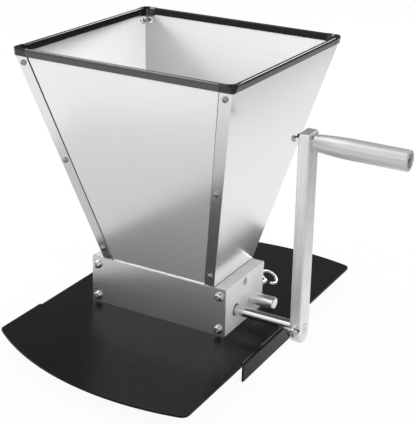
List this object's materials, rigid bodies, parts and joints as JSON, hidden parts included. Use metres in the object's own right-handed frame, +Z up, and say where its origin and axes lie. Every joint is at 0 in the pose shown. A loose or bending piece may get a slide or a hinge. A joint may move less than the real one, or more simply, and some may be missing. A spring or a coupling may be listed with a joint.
{
  "type": "hand cranked malt mill",
  "caption": "Malt mill with a flared sheet metal hopper over a box of two rollers, on a black board that lies across a bucket, turned by a side crank.",
  "frame": {"origin": "centre of the discharge opening, in the plane of the board's underside, which lies on the bucket", "axes": "+X along the rollers towards the crank, +Y across them to the side of the ring screws, +Z up out of the hopper"},
  "size_m": [0.3603, 0.387, 0.2973],
  "materials": {
    "board_black": "satin powder coat",
    "hopper_steel": "brushed stainless sheet",
    "plate_steel": "brushed stainless plate",
    "block_aluminium": "satin, machined",
    "arm_aluminium": "satin, extruded bar",
    "grip_aluminium": "satin, turned",
    "shaft_steel": "ground and polished",
    "roller_steel": "knurled, bare steel",
    "adjuster_steel": "turned, bright",
    "ring_chrome": "bright plated wire",
    "screw_chrome": "bright plated",
    "dark_screw": "black oxide",
    "bush_bronze": "sintered bronze",
    "trim_black": "gloss black"
  },
  "bodies": {
    "frame": {"base_board": "board_black", "board_screws": "screw_chrome", "end_block_right": "block_aluminium", "end_block_left": "block_aluminium", "front_plate": "plate_steel", "back_plate": "plate_steel", "front_plate_screws": "screw_chrome", "back_plate_screws": "screw_chrome", "hopper_front": "hopper_steel", "hopper_back": "hopper_steel", "hopper_right": "hopper_steel", "hopper_left": "hopper_steel", "seam_screws": "screw_chrome", "seam_nuts": "screw_chrome", "hopper_side_screws": "dark_screw", "hopper_side_nuts": "screw_chrome", "trim_front": "trim_black", "trim_back": "trim_black", "trim_right": "trim_black", "trim_left": "trim_black", "rim_corner_caps": "trim_black", "drive_bush_right": "bush_bronze", "drive_bush_left": "bush_bronze"},
    "crank": {"drive_shaft": "shaft_steel", "drive_roller": "roller_steel", "crank_arm": "arm_aluminium", "crank_set_screw": "screw_chrome", "grip_bolt": "screw_chrome", "grip_nut": "screw_chrome", "grip_washer": "screw_chrome"},
    "grip": {"grip": "grip_aluminium"},
    "adjuster_right": {"adjuster_right": "adjuster_steel"},
    "adjuster_left": {"adjuster_left": "adjuster_steel"},
    "idler": {"idler_shaft": "shaft_steel", "idler_roller": "roller_steel"},
    "ring_screw_right": {"ring_screw_right": "ring_chrome"},
    "ring_screw_left": {"ring_screw_left": "ring_chrome"}
  },
  "joints": [
    {"name": "crank_spin", "type": "hinge", "parent": "frame", "child": "crank", "pos_m": [0, -0.0182, 0.0225], "axis": [1, 0, 0], "continuous": true},
    {"name": "grip_spin", "type": "hinge", "parent": "crank", "child": "grip", "pos_m": [0, -0.0262, 0.21333], "axis": [1, 0, 0], "continuous": true},
    {"name": "gap_adjust", "type": "hinge", "parent": "frame", "child": "adjuster_right", "pos_m": [0, 0.01495, 0.0225], "axis": [1, 0, 0], "range_deg": [-80, 80]},
    {"name": "gap_adjust_left", "type": "hinge", "parent": "frame", "child": "adjuster_left", "pos_m": [0, 0.01495, 0.0225], "axis": [1, 0, 0], "range_deg": [-80, 80]},
    {"name": "idler_spin", "type": "hinge", "parent": "adjuster_right", "child": "idler", "pos_m": [0, 0.01495, 0.0236], "axis": [1, 0, 0], "continuous": true},
    {"name": "ring_turn_right", "type": "hinge", "parent": "frame", "child": "ring_screw_right", "pos_m": [0.0725, 0.06675, 0.0225], "axis": [0, 1, 0], "range_deg": [0, 360]},
    {"name": "ring_turn_left", "type": "hinge", "parent": "frame", "child": "ring_screw_left", "pos_m": [-0.0725, 0.06675, 0.0225], "axis": [0, 1, 0], "range_deg": [0, 360]}
  ],
  "couplings": [
    {"joint": "gap_adjust_left", "follows": "gap_adjust", "ratio": 1}
  ]
}
